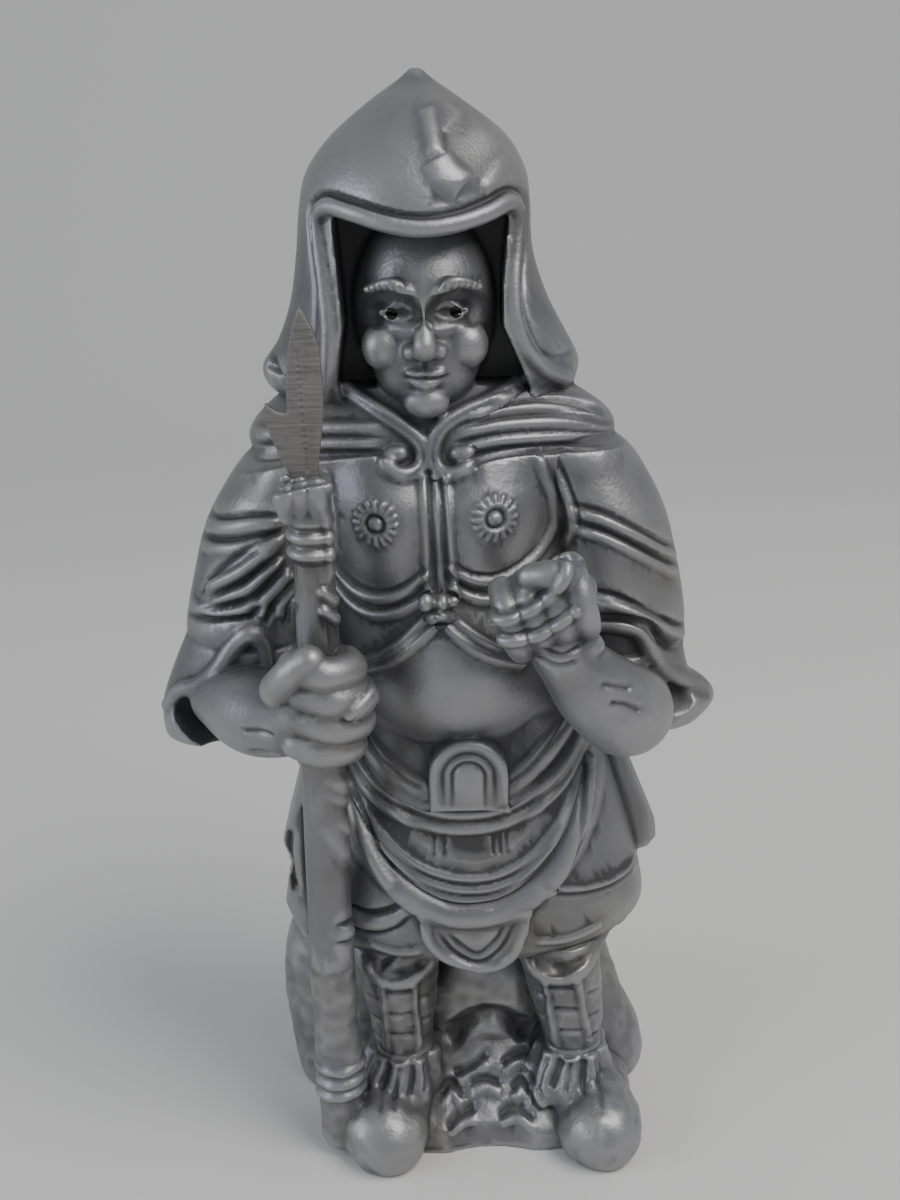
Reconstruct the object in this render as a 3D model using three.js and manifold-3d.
// A standing guardian figure in a pointed hood and plate armour, cast in one with the rock it stands
// on, and the flat spear blade that is pushed into the socket at the top of its shaft.
// Millimetres, +Z up, the figure faces -Y, the origin is the middle of the flat underside.
import * as THREE from 'three';
import { mergeVertices } from 'three/addons/utils/BufferGeometryUtils.js';
import Module from 'manifold-3d';

const wasm = await Module();
wasm.setup();

// Driving dimensions
const HEIGHT = 330;
const SHOULDER_Z = 228;
const WAIST_Z = 150;
const HEM_Z = 70;
const ANKLE_Z = 28;
const SLEEVE_Z = 141;

const FRONT = new THREE.Vector3(0, -1, 0);
const UP = new THREE.Vector3(0, 0, 1);

// Unit solids that are bent into shape

const signedPower = (value, power) => Math.sign(value) * Math.abs(value) ** power;

// Uniform Catmull-Rom between rows of numbers, at t from 0 to 1.
function along(rows, t) {
  const place = Math.min(Math.max(t, 0), 1) * (rows.length - 1);
  const i = Math.min(Math.floor(place), rows.length - 2);
  const u = place - i;
  const [a, b, c, d] = [-1, 0, 1, 2].map((k) => rows[Math.min(Math.max(i + k, 0), rows.length - 1)]);
  return b.map((value, k) => {
    const before = a[k] ?? value;
    const after = d[k] ?? c[k];
    return value + 0.5 * u * (c[k] - before
      + u * (2 * before - 5 * value + 4 * c[k] - after
      + u * (3 * (value - c[k]) + after - before)));
  });
}

// A sphere's grid of rows and columns, with each vertex put where place(row, angle) says.
function bentSphere(sides, rows, place) {
  const geometry = new THREE.SphereGeometry(1, sides, rows);
  const position = geometry.attributes.position;
  for (let row = 0; row <= rows; row++) {
    for (let side = 0; side <= sides; side++) {
      const point = place(row, (2 * Math.PI * (side % sides)) / sides);
      position.setXYZ(row * (sides + 1) + side, point.x, point.y, point.z);
    }
  }
  return geometry;
}

function solid(geometry) {
  const bare = geometry.clone();
  bare.deleteAttribute('normal');
  bare.deleteAttribute('uv');
  const merged = mergeVertices(bare, 1e-4);
  return new wasm.Manifold(new wasm.Mesh({
    numProp: 3,
    vertProperties: merged.attributes.position.array,
    triVerts: new Uint32Array(merged.index.array),
  }));
}

// A body through level sections [z, x, y, half width, half depth, squareness], lowest first.
// swell(x, z) pushes the front half of the skin out towards the viewer.
function loft(sections, { sides = 24, rows = 8, swell = null, ripple = null } = {}) {
  const levels = sections.map((row) => (row.length < 6 ? [...row, 2] : row));
  return solid(bentSphere(sides, rows, (row, angle) => {
    const t = 1 - Math.min(Math.max((row - 1) / (rows - 2), 0), 1);
    const [z, x, y, width, depth, squareness] = along(levels, t);
    const grow = row === 0 || row === rows ? 0 : 1;
    const c = signedPower(Math.cos(angle), 2 / squareness);
    const s = signedPower(Math.sin(angle), 2 / squareness);
    const push = ripple ? ripple(angle, z) : 0;
    const point = new THREE.Vector3(x - grow * (width + push) * c, y - grow * (depth + push) * s, z);
    point.y -= swell && s > 0 ? grow * s * swell(point.x, z) : 0;
    return point;
  }));
}

// A round-ended bar through points [x, y, z, half width], its section flat times as thick as wide.
function limb(points, { sides = 8, rows = 10, flat = 1, facing = FRONT } = {}) {
  const last = rows - 1;
  return solid(bentSphere(sides, rows, (row, angle) => {
    const t = Math.min(Math.max((row - 1) / (last - 1), 0), 1);
    const step = 0.02;
    const [x, y, z, radius] = along(points, t);
    const ahead = new THREE.Vector3(...along(points, t + step).slice(0, 3));
    const tangent = ahead.sub(new THREE.Vector3(...along(points, t - step).slice(0, 3))).normalize();
    const side = new THREE.Vector3().crossVectors(facing, tangent).normalize();
    const out = new THREE.Vector3().crossVectors(tangent, side);
    const isPole = row === 0 || row === rows;
    const reach = isPole ? (row === 0 ? -0.4 : 0.4) * radius : 0;
    const swell = isPole ? 0 : (row === 1 || row === last ? 0.78 : 1) * radius;
    return new THREE.Vector3(x, y, z)
      .addScaledVector(tangent, reach)
      .addScaledVector(side, -swell * Math.cos(angle))
      .addScaledVector(out, swell * flat * Math.sin(angle));
  }));
}

function blob([x, y, z], [rx, ry, rz], { sides = 16, rows = 9, turn = [0, 0, 0] } = {}) {
  const geometry = new THREE.SphereGeometry(1, sides, rows);
  geometry.rotateX(Math.PI / 2);
  geometry.scale(rx, ry, rz);
  turn.forEach((degrees, axis) => {
    geometry[['rotateX', 'rotateY', 'rotateZ'][axis]](THREE.MathUtils.degToRad(degrees));
  });
  geometry.translate(x, y, z);
  return solid(geometry);
}

// A front outline [x, z] given thickness from the plane y = front back towards +Y.
function plate(outline, front, thickness) {
  const shape = new THREE.Shape(outline.map(([x, z]) => new THREE.Vector2(x, z)));
  const geometry = new THREE.ExtrudeGeometry(shape, { depth: thickness, bevelEnabled: false });
  geometry.rotateX(Math.PI / 2);
  geometry.translate(0, front + thickness, 0);
  return solid(geometry);
}

const union = (...pieces) => wasm.Manifold.union(pieces.flat(9));

// A round hill of the given height over an oval on the front of a body.
function hill([x, z], [halfWidth, halfHeight], height) {
  return (atX, atZ) => {
    const reach = Math.hypot((atX - x) / halfWidth, (atZ - z) / halfHeight);
    return reach < 1 ? height * (1 - reach ** 2) ** 0.8 : 0;
  };
}

function geometryOf(manifold) {
  const mesh = manifold.getMesh();
  const geometry = new THREE.BufferGeometry();
  const position = new Float32Array(mesh.numVert * 3);
  for (let i = 0; i < mesh.numVert; i++) {
    position.set(mesh.vertProperties.subarray(i * mesh.numProp, i * mesh.numProp + 3), i * 3);
  }
  geometry.setAttribute('position', new THREE.BufferAttribute(position, 3));
  geometry.setIndex(new THREE.BufferAttribute(mesh.triVerts, 1));
  geometry.computeVertexNormals();
  geometry.computeBoundingBox();
  return geometry;
}

// Finds the skin of a body at [x, z], seen from the front (side 1) or the back (side -1). Past the
// edge of the outline the point slides in until it meets the skin.
function skinOf(manifold, side = 1) {
  const bothSides = new THREE.MeshBasicMaterial({ side: THREE.DoubleSide });
  const skin = new THREE.Mesh(geometryOf(manifold), bothSides);
  const ray = new THREE.Raycaster();
  const { boundingBox } = skin.geometry;
  const middle = 0.5 * (boundingBox.min.x + boundingBox.max.x);
  return (x, z) => {
    const level = THREE.MathUtils.clamp(z, boundingBox.min.z + 0.5, boundingBox.max.z - 0.5);
    let hit = null;
    for (let keep = 1; !hit && keep > 0; keep -= 0.02) {
      ray.ray.origin.set(middle + keep * (x - middle), -300 * side, level);
      ray.ray.direction.set(0, side, 0);
      [hit] = ray.intersectObject(skin);
    }
    return { point: hit.point, normal: hit.face.normal };
  };
}

// A fold, cord or band of triangular section that lies on a skin along points [x, z].
function ridge(skin, halfWidth, points, { proud = 0.8 * halfWidth, count = points.length } = {}) {
  const hits = [];
  for (let i = 0; i < count; i++) hits.push(skin(...along(points, i / (count - 1))));
  const rows = count + 1;
  return solid(bentSphere(3, rows, (row, angle) => {
    const i = Math.min(Math.max(row - 1, 0), count - 1);
    const { point, normal } = hits[i];
    const ahead = hits[Math.min(i + 1, count - 1)].point.clone();
    const run = ahead.sub(hits[Math.max(i - 1, 0)].point).normalize();
    const out = normal.clone().addScaledVector(run, -normal.dot(run)).normalize();
    const across = new THREE.Vector3().crossVectors(out, run);
    if (row === 0 || row === rows) {
      return point.clone().addScaledVector(run, (row === 0 ? -1 : 1) * halfWidth).addScaledVector(out, -1);
    }
    const corner = Math.round((3 * angle) / (2 * Math.PI));
    return point.clone()
      .addScaledVector(across, (corner - 1) * 1.2 * halfWidth)
      .addScaledVector(out, corner === 1 ? proud : -0.5 * halfWidth);
  }));
}

const ridges = (skin, list) => list.map((row) => ridge(skin, ...row));

// Cloth laid on a skin in folds. Each line is [proud, points], from the top of the cloth down, its
// points from left to right, and the cloth rises to one line and sinks to the next.
function drape(skin, lines, { columns = 8, depth = 2.5 } = {}) {
  const rows = lines.length + 1;
  const place = ([, points], t, lift) => {
    const { point, normal } = skin(...along(points, t));
    return point.clone().addScaledVector(normal, lift);
  };
  return solid(bentSphere(2 * columns, rows, (row, angle) => {
    const line = lines[Math.min(Math.max(row - 1, 0), lines.length - 1)];
    if (row === 0 || row === rows) return place(line, 0.5, -depth);
    const side = Math.round((angle * columns) / Math.PI);
    return side <= columns
      ? place(line, side / columns, line[0])
      : place(line, 2 - side / columns, -depth);
  }));
}

// Turned rings round an upright bar, from rows [radius, z] that start and end on the axis.
function rings(x, y, profile, sides = 8) {
  const outline = profile.map(([radius, z]) => new THREE.Vector2(radius, z));
  const geometry = new THREE.LatheGeometry(outline, sides);
  geometry.rotateX(Math.PI / 2);
  geometry.translate(x, y, 0);
  return solid(geometry);
}

// Rock and feet

function rock() {
  const wall = loft([
    [0, 0, 10, 60, 30, 2.4],
    [12, -1, 10, 61, 29, 2.4],
    [30, -6, 12, 58, 26, 2.3],
    [49, -8, 13, 54.5, 24.5, 2.2],
    [62, -5, 13, 51, 24, 2.2],
    [80, -2, 13, 48, 22, 2.2],
  ], { sides: 14, rows: 7 });
  const mound = loft([
    [0, 4, -14, 50, 27, 3],
    [8, 4, -14, 49, 26, 3],
    [16, 4, -10, 42, 20, 2.6],
    [24, 4, -8, 34, 15, 2.2],
    [31, 4, -6, 24, 9, 2],
  ], { sides: 12, rows: 6 });
  const bay = new THREE.CylinderGeometry(37, 37, 60, 16);
  bay.rotateX(Math.PI / 2);
  bay.translate(6, -75, 0);
  const stones = drape(skinOf(mound), [
    [-1.2, [[-8, 25], [5, 29], [20, 25]]],
    [2.4, [[-10, 21], [5, 24], [21, 21]]],
    [0.8, [[-10, 18], [5, 20], [21, 18]]],
    [2.6, [[-11, 14], [5, 16], [22, 14]]],
    [-1.2, [[-11, 10], [5, 11], [22, 10]]],
  ], { columns: 4 });
  return union(wall, mound, stones).subtract(solid(bay));
}

function foot(x, toeX) {
  return limb([
    [x, -16, 14, 11],
    [x, -26, 12, 13],
    [toeX, -35, 9.5, 13.5],
    [toeX, -43, 8.5, 14],
  ], { sides: 10, rows: 7, flat: 0.9, facing: UP });
}

// A shin with its two straps, the gathered cuff over the foot, and the knee of the breeches.
function leg(side) {
  const [kneeX, ankleX] = side < 0 ? [-22.5, -22] : [28.5, 33.5];
  const shin = loft([
    [16, ankleX, -20, 11, 12],
    [30, ankleX, -20, 9.5, 10],
    [50, (kneeX + ankleX) / 2, -20, 12, 12],
    [70, kneeX, -20, 13.5, 13],
  ], { sides: 8, rows: 5 });
  const cuff = loft([
    [15, ankleX - 2, -25, 14, 13],
    [19, ankleX - 2, -24, 15, 13.5],
    [ANKLE_Z, ankleX, -21, 11.5, 11.5],
  ], { sides: 12, rows: 4, ripple: (angle) => 1.2 * Math.cos(6 * angle) });
  const skin = skinOf(shin);
  const strap = (across) => ridge(skin, 1.4, [[kneeX + across, 60], [ankleX + across, 30]]);
  const breeches = drape(skin, [
    [-1.2, [[kneeX - 14, 71], [kneeX, 66], [kneeX + 14, 71]]],
    [2.6, [[kneeX - 15, 68], [kneeX, 60], [kneeX + 15, 68]]],
    [-1.2, [[kneeX - 14, 65], [kneeX, 56.5], [kneeX + 14, 65]]],
  ], { columns: 4 });
  return [shin, cuff, strap(5.5), strap(-5.5), breeches];
}

// Skirt, belt and swags

function skirt() {
  const cloth = loft([
    [HEM_Z, 1, 0, 54, 37],
    [74, 1, 0, 57, 40],
    [84, 0, 0, 57, 41.5],
    [100, 0, 0, 53, 42],
    [120, 1, 0, 46, 41],
    [140, 2, 0, 39, 39],
    [WAIST_Z, 2, 0, 36, 38],
  ], {
    sides: 24,
    rows: 7,
    ripple: (angle, z) => (Math.sin(angle) < -0.2 && z < 125 ? 1.2 * Math.cos(12 * angle) : 0),
  });
  const front = skinOf(cloth);
  const sashes = ridges(front, [
    [3.2, [[-33, 145], [-26, 137], [-19, 132], [-11, 128]], { proud: 3 }],
    [3.2, [[33, 147], [25, 140], [18, 134], [12, 129]], { proud: 3 }],
  ]);
  const swags = drape(front, [
    [0.8, [[-37, 139], [-21, 130], [1, 127], [22, 131], [38, 142]]],
    [2.2, [[-37, 136], [-21, 127], [1, 124], [22, 128], [38, 139]]],
    [0.8, [[-37, 133], [-21, 124.5], [1, 121.5], [22, 126], [38, 137]]],
    [2, [[-37, 131], [-21, 122], [1, 119], [22, 123], [38, 135]]],
    [0.8, [[-36, 128], [-20, 118], [1, 115], [21, 119], [37, 132]]],
    [0.8, [[-36, 126], [-20, 115], [0, 108], [20, 113], [37, 130]]],
    [2.4, [[-36, 124], [-19, 111.5], [0, 104], [20, 109.5], [37, 128]]],
    [0.8, [[-36, 121], [-19, 108], [0, 101], [21, 106.5], [37, 125]]],
    [2.4, [[-36, 118], [-18, 104.5], [0, 97.5], [21, 103], [37, 122]]],
    [0.8, [[-36, 115], [-18, 101], [0, 94], [21, 99.5], [37, 119]]],
    [3.2, [[-36, 111], [-18, 97], [1, 89.5], [20, 95], [37, 115]]],
    [-1.2, [[-36, 107], [-18, 93.5], [1, 86], [20, 91.5], [37, 111]]],
  ], { columns: 8 });
  const panel = (points, halfWidth) => [
    [-1.2, points.map(([x, z]) => [x, z + halfWidth])],
    [1.8, points],
    [0.8, points.map(([x, z]) => [x, z - halfWidth])],
    [1.8, points.map(([x, z]) => [x - 1, z - 2 * halfWidth])],
    [-1.2, points.map(([x, z]) => [x - 1, z - 3.2 * halfWidth])],
  ];
  const panels = [
    drape(front, panel([[24, 98], [38, 97], [47, 95], [54, 94]], 2.6), { columns: 3 }),
    drape(front, panel([[-46, 88], [-36, 86], [-28, 88], [-18, 94]], 3), { columns: 3 }),
  ];
  const apron = drape(front, [
    [-1.2, [[-15, 92], [2, 92], [19, 92]]],
    [3, [[-15, 88], [2, 87], [19, 88]]],
    [3, [[-14, 83], [-5, 79], [3, 76], [11, 79], [17, 83]]],
    [1.4, [[-13, 81], [-5, 76.5], [3, 74], [10, 76.5], [16, 81]]],
    [3.2, [[-11, 79], [-4, 74.5], [3, 72.5], [9, 74.5], [15, 79]]],
  ], { columns: 6 });
  return [cloth, sashes, swags, panels, apron, buckle()];
}

// The buckle is a round-topped plate with a sunk ring in it.
function buckle() {
  const arch = (radius, front, thickness) => {
    const outline = [[1 - radius, 126], [1 + radius, 126]];
    for (let i = 0; i <= 8; i++) {
      const angle = (Math.PI * i) / 8;
      outline.push([1 + radius * Math.cos(angle), 139 + radius * Math.sin(angle)]);
    }
    return plate(outline, front, thickness);
  };
  return union(arch(11.5, -46, 9).subtract(arch(8.6, -47, 2)), arch(6.4, -46, 9));
}

function hipFlap() {
  return plate([[38, 146], [45, 140], [62.5, 96], [62, 90], [55, 86], [50, 110]], 1, 6);
}

// The end of the sash hangs behind the shaft.
function sashTail() {
  return plate([
    [-50, 146], [-53, 138], [-50, 132], [-53, 118], [-57, 105], [-55.5, 92], [-57, 82], [-52, 70],
    [-44, 70], [-40, 146],
  ], -22, 22);
}

// Body

// The trunk from the waist to the neck, with the cloth of the hood lying wide on the shoulders.
function chest() {
  const hills = [
    hill([-2, 166], [30, 23], 8),
    hill([-22, 212], [17, 19], 6),
    hill([10, 212], [17, 19], 6),
  ];
  const bulk = loft([
    [WAIST_Z - 4, 1, 0, 36, 38],
    [170, -2, -1, 38, 40],
    [190, -4, 0, 41, 39],
    [205, -5, 0, 44, 36],
    [218, -6, 0, 46, 34],
    [SHOULDER_Z, -7, 0, 53.5, 29],
    [236, -7, 0, 51, 28],
    [247, -9, 2, 36, 24],
  ], { sides: 22, rows: 12, swell: (x, z) => hills.reduce((sum, at) => sum + at(x, z), 0) });
  const front = skinOf(bulk);
  const volutes = [
    [[-27, 244], [-16, 239], [-9, 233], [-10, 226], [-16, 225], [-19, 229]],
    [[15, 245], [3, 241], [-5, 236], [-6, 228], [-2, 224], [3, 227]],
  ].map((points) => ridge(front, 2.2, points, { proud: 3.4, count: 7 }));
  const rightFan = drape(front, [
    [-1.2, [[10, 243], [25, 244], [38, 241]]],
    [1.8, [[6, 240], [25, 241], [40, 238]]],
    [0.8, [[2, 237], [25, 239], [42, 236]]],
    [2, [[-1, 234], [25, 236.5], [44, 234]]],
    [0.8, [[-1, 232], [25, 234], [46, 232]]],
    [2.2, [[-1, 230], [25, 232], [47, 230]]],
    [0.8, [[1, 228.5], [25, 230], [47, 228]]],
    [2.2, [[3, 227], [25, 228], [47, 226]]],
    [-1.2, [[4, 225], [25, 226], [46, 224]]],
  ], { columns: 3 });
  const leftFan = drape(front, [
    [-1.2, [[-56, 234], [-40, 238], [-19, 237]]],
    [2, [[-57, 231], [-40, 235], [-18, 235]]],
    [0.8, [[-58, 229], [-40, 232.5], [-18, 233]]],
    [2.2, [[-58, 227], [-40, 230], [-18, 231]]],
    [-1.2, [[-56, 224], [-40, 227], [-20, 229]]],
  ], { columns: 3 });
  const upright = (x) => [[x, 224], [x + 1, 190]];
  const straps = drape(front, [
    [-1.2, upright(-3.2)], [2, upright(-5)], [0.8, upright(-7)], [2, upright(-9)], [-1.2, upright(-11)],
  ], { columns: 2, depth: 7 });
  const leftCup = drape(front, [
    [-1.2, [[-38, 201], [-24, 192.5], [-9, 200]]],
    [1.8, [[-38, 198], [-24, 190], [-9, 197]]],
    [0.8, [[-38, 195], [-24, 187.5], [-9, 194]]],
    [2, [[-38, 192], [-24, 185], [-8, 191]]],
    [-1.2, [[-37, 189], [-24, 182.5], [-8, 188]]],
  ], { columns: 4, depth: 6 });
  const rightCup = [
    ridge(front, 1.6, [[-3, 199], [9, 194.5], [21, 199], [27, 209], [24, 224]], { count: 7 }),
    ridge(front, 1.8, [[-2, 194], [9, 189.5], [22, 190]]),
    ridge(front, 1.4, [[28, 225], [32, 213], [30, 201]]),
  ];
  const cords = [-1, 1].map((side) => drape(front, [
    [-1.2, 1.5], [1.8, 0], [0.8, -1.8], [1.8, -3.6], [-1.2, -5.4],
  ].map(([proud, rise]) => {
    const points = [[side * 24 - 5, 172 + rise], [side * 9 - 5, 180 + rise], [-5, 189 + rise]];
    return [proud, side < 0 ? points : points.reverse()];
  }), { columns: 3, depth: 7 }));
  const knot = blob([-5.8, -39.4, 189.6], [6.2, 6.2, 8.8], { sides: 6, rows: 5 });
  const rosettes = [[-23, 213], [10, 213.5]].map(([x, z]) => {
    const boss = rings(0, 0, [[0, -2], [5.6, -1], [5.4, 1.4], [2.6, 0.8], [0, 3.4]], 9);
    return boss.rotate([90, 0, 0]).translate([x, front(x, z).point.y, z]);
  });
  return [bulk, volutes, rightFan, leftFan, straps, leftCup, rightCup, cords, knot, rosettes];
}

function upperArms() {
  const left = loft([
    [166, -62, -6, 20, 22],
    [175, -62, -6, 21, 24],
    [190, -59.5, -6, 20, 25],
    [205, -56, -5, 19, 25],
    [216, -51, -4, 18, 23],
    [226, -45, -3, 16, 20],
    [234, -38, -2, 10, 14],
  ], { sides: 12, rows: 8 });
  const right = loft([
    [160, 48, -6, 20, 22],
    [175, 47, -6, 21, 24],
    [190, 45, -6, 20.5, 25],
    [205, 42, -5, 20, 25],
    [216, 38, -4, 19, 23],
    [226, 33, -3, 17, 20],
    [234, 26, -2, 10, 14],
  ], { sides: 12, rows: 8 });
  const tongues = drape(skinOf(left), [
    [-1.2, [[-76, 191], [-64, 203], [-48, 212]]],
    [2, [[-76, 188], [-64, 199], [-48, 208]]],
    [0.8, [[-76, 186], [-64, 196.5], [-48, 205]]],
    [2.2, [[-76, 184], [-63, 194], [-47, 201]]],
    [0.8, [[-76, 182.5], [-62, 191], [-47, 197]]],
    [2.2, [[-77, 180], [-62, 187], [-47, 192]]],
    [-1.2, [[-77, 177], [-62, 184], [-48, 187]]],
  ], { columns: 4 });
  return [
    left,
    right,
    tongues,
    ridge(skinOf(left), 2, [[-74, 208], [-64, 212], [-49, 213]]),
    ridges(skinOf(right), [
      [2.2, [[30, 214], [42, 211], [53, 204], [63, 195]]],
      [2.2, [[35, 188], [45, 187], [55, 181], [67, 171]]],
    ]),
  ];
}

function sleeves() {
  const leftShell = loft([
    [SLEEVE_Z, -68, -8, 24, 20, 2.3],
    [150, -68, -8, 24, 21, 2.3],
    [160, -66, -8, 22.5, 22],
    [172, -62, -7, 21, 24],
  ], { sides: 12, rows: 6 });
  const rightShell = loft([
    [SLEEVE_Z + 1.5, 52, -10, 21, 18, 2.2],
    [148.5, 55, -9, 22.5, 19, 2.2],
    [155, 51, -9, 19, 21, 2.2],
    [168, 47, -8, 20, 23],
  ], { sides: 12, rows: 6 });
  const leftHollow = blob([-74, -33, 151], [14, 14, 9], { sides: 9, rows: 6 });
  const rightHollow = blob([62, -33, 155], [15, 13, 10], { sides: 8, rows: 6 });
  return [
    leftShell.subtract(leftHollow),
    rightShell.subtract(rightHollow),
    ridge(skinOf(leftShell), 2.4, [[-87, 155], [-77, 161], [-70, 165], [-61, 172]]),
    ridge(skinOf(rightShell), 2.2, [[46, 166], [56, 165], [65, 157], [73, 150]]),
  ];
}

function forearms() {
  return [
    limb([[-68, -26, 157, 11], [-58, -38, 158, 13], [-46, -50, 164, 12]], { sides: 8, rows: 5 }),
    limb([[49, -30, 152, 12], [45, -42, 157, 13.5], [34, -50, 170, 11.5], [25, -55, 184, 9]],
      { sides: 8, rows: 6 }),
  ];
}

// Four closed fingers over a ball of palm: knuckle lines a pitch apart from the first to the last.
function fingers(palm, first, last, [alongX, alongZ], proud) {
  const lines = [];
  for (let i = 0; i <= 8; i++) {
    const x = THREE.MathUtils.lerp(first[0], last[0], i / 8);
    const z = THREE.MathUtils.lerp(first[1], last[1], i / 8);
    const points = [-1, 0, 1].map((k) => [x + k * alongX, z + k * alongZ]);
    lines.push([i % 2 ? proud : 0.8, points]);
  }
  return drape(skinOf(palm), lines, { columns: 2 });
}

// The right hand closes round the shaft.
function gripHand() {
  const palm = blob([-43, -53, 166], [14, 11, 14], { sides: 9, rows: 7 });
  return [palm, fingers(palm, [-38, 179], [-37, 153], [7.5, -1], 2.2)];
}

function raisedFist() {
  const palm = blob([21.5, -57, 195], [12.5, 9.5, 11.5], { sides: 9, rows: 7 });
  const thumb = limb([[31, -60, 199, 4.6], [25, -65, 205, 4], [17, -63, 205, 3.4]], { sides: 5, rows: 4 });
  return [palm, thumb, fingers(palm, [30, 197], [11.5, 191], [3, -6.5], 2.4)];
}

// Spear: the shaft is part of the casting, the blade is a separate flat plate

const SOCKET = { x: -40.5, y: -46, bottom: 222, top: 229, halfWidth: 3.6, halfDepth: 1.6 };
const CLEARANCE = 0.3;

function shaft() {
  const collar = rings(-40, -46, [
    [0, 205], [5, 206.5], [7, 208.5], [5, 210.5], [7, 213], [5, 215.5], [7, 218], [0, 220],
  ]);
  const foot = rings(-42, -36.5, [
    [0, 26], [7, 27], [8.4, 29.5], [7, 32], [8.4, 34.5], [7, 37], [0, 38],
  ]);
  const { x, y, bottom, top, halfWidth, halfDepth } = SOCKET;
  const block = new THREE.BoxGeometry(13, 10, top - 217);
  block.translate(x, y, (top + 217) / 2);
  const slot = new THREE.BoxGeometry(2 * (halfWidth + CLEARANCE), 2 * (halfDepth + CLEARANCE), 10);
  slot.translate(x, y, bottom - CLEARANCE + 5);
  return union(
    limb([[-42, -36, 4, 7], [-42, -38, 90, 6.7], [-40, -46, 160, 6.3], [-39.5, -46, 218, 5.2]],
      { sides: 8, rows: 6 }),
    collar,
    foot,
    solid(block),
  ).subtract(solid(slot));
}

// A straight-edged point with one barbed hook on the outer side, chamfered along its edges.
function blade() {
  const { x, y, bottom, top, halfWidth, halfDepth } = SOCKET;
  const chamfer = 0.8;
  const outline = [
    [-37, top + 0.5], [-34.5, 248], [-34.5, 262], [-39.5, 274], [-43, 265], [-44, 246], [-50, 249],
    [-49.5, 242], [-46, 233], [-44.5, top + 0.5],
  ];
  const shape = new THREE.Shape(outline.map(([atX, atZ]) => new THREE.Vector2(atX, atZ)));
  const body = new THREE.ExtrudeGeometry(shape, {
    depth: 2 * halfDepth - 2 * chamfer,
    bevelEnabled: true,
    bevelThickness: chamfer,
    bevelSize: chamfer,
    bevelOffset: -chamfer,
    bevelSegments: 1,
  });
  body.rotateX(Math.PI / 2);
  body.translate(0, y + halfDepth - chamfer, 0);
  const tang = new THREE.BoxGeometry(2 * halfWidth, 2 * halfDepth, top + 3 - bottom);
  tang.translate(x, y, (top + 3 + bottom) / 2);
  return union(solid(body), solid(tang));
}

// Head and hood

function hood() {
  const shell = loft([
    [243, -9, 4, 44, 30],
    [250, -9.7, 2, 46, 33],
    [258, -9, 1, 41.5, 35],
    [269, -9.7, 1, 36.6, 36],
    [282, -10.5, 1, 33.4, 36],
    [295, -10, 1, 32.3, 35],
    [304, -9.5, 1, 30.3, 32],
    [313, -8.8, 1, 24, 25],
    [322, -9, 2, 12.5, 14],
    [HEIGHT - 3, -8.8, 2.5, 5, 5.5],
    [HEIGHT, -8.7, 3, 1.6, 1.8],
  ], {
    sides: 18,
    rows: 10,
    ripple: (angle, z) => (Math.sin(angle) < -0.2 && z < 275 ? 1.4 * Math.cos(9 * angle) : 0),
  });
  const opening = plate([
    [-34, 240], [-35, 249], [-32, 265], [-33, 296], [-22, 293.5], [-8, 290.5], [16, 294.5],
    [14, 264], [20, 253], [24, 240],
  ], -60, 48);
  const rim = ridge(skinOf(shell), 2.6, [
    [-36, 250], [-35, 266], [-35, 284], [-34, 298], [-22, 295.5], [-8, 292.5], [6, 294.5],
    [18, 297.5], [18, 282], [16, 266], [21, 255], [31, 247],
  ], { proud: 2.4 });
  return [shell.subtract(opening), rim];
}

// A calm, even face: the eye line halfway up the head, the eyes one eye's width apart.
function head() {
  const skull = blob([-8, -11, 266], [22, 25, 27], { sides: 12, rows: 8 });
  const front = skinOf(skull);
  const eyes = [-1, 1].map((side) => {
    const x = -8 + 9 * side;
    return [
      blob([x, -31.5, 270], [4.6, 4, 2.8], { sides: 7, rows: 4 }),
      ridge(front, 1.2, [[x - 6, 270], [x, 273.2], [x + 6, 270]], { proud: 2.6 }),
      ridge(front, 1.6, [[x - 6, 277], [x, 279], [x + 6, 277]], { proud: 2 }),
    ];
  });
  const nose = limb([[-8, -33, 274, 2.2], [-8, -38, 264, 2.6], [-8, -40, 259, 4]], { sides: 6, rows: 5 });
  const lips = drape(front, [
    [-1.2, [[-15, 253.5], [-8, 255], [-1, 253.5]]],
    [2.6, [[-15, 252.5], [-8, 252.8], [-1, 252.5]]],
    [1, [[-15, 252], [-8, 251], [-1, 252]]],
    [2.6, [[-14, 251.5], [-8, 249.2], [-2, 251.5]]],
    [-1.2, [[-13, 250], [-8, 247], [-3, 250]]],
  ], { columns: 4 });
  return [skull, eyes, nose, lips];
}

const figure = union(
  rock(), foot(-25, -28), foot(37, 41), leg(-1), leg(1), skirt(), hipFlap(), sashTail(), chest(),
  upperArms(), sleeves(), forearms(), gripHand(), raisedFist(), shaft(), hood(), head(),
).trimByPlane([0, 0, 1], 0);

// Scene graph

const silverPaint = new THREE.MeshStandardMaterial({ color: 0x77777a, roughness: 0.45, metalness: 0.6 });
const bladePaint = new THREE.MeshStandardMaterial({ color: 0x6c6a68, roughness: 0.6, metalness: 0.5 });

const root = new THREE.Group();
for (const [name, manifold, material] of [
  ['figure', figure, silverPaint],
  ['spear_blade', blade(), bladePaint],
]) {
  const mesh = new THREE.Mesh(geometryOf(manifold), material);
  mesh.name = name;
  root.add(mesh);
}

export default root;
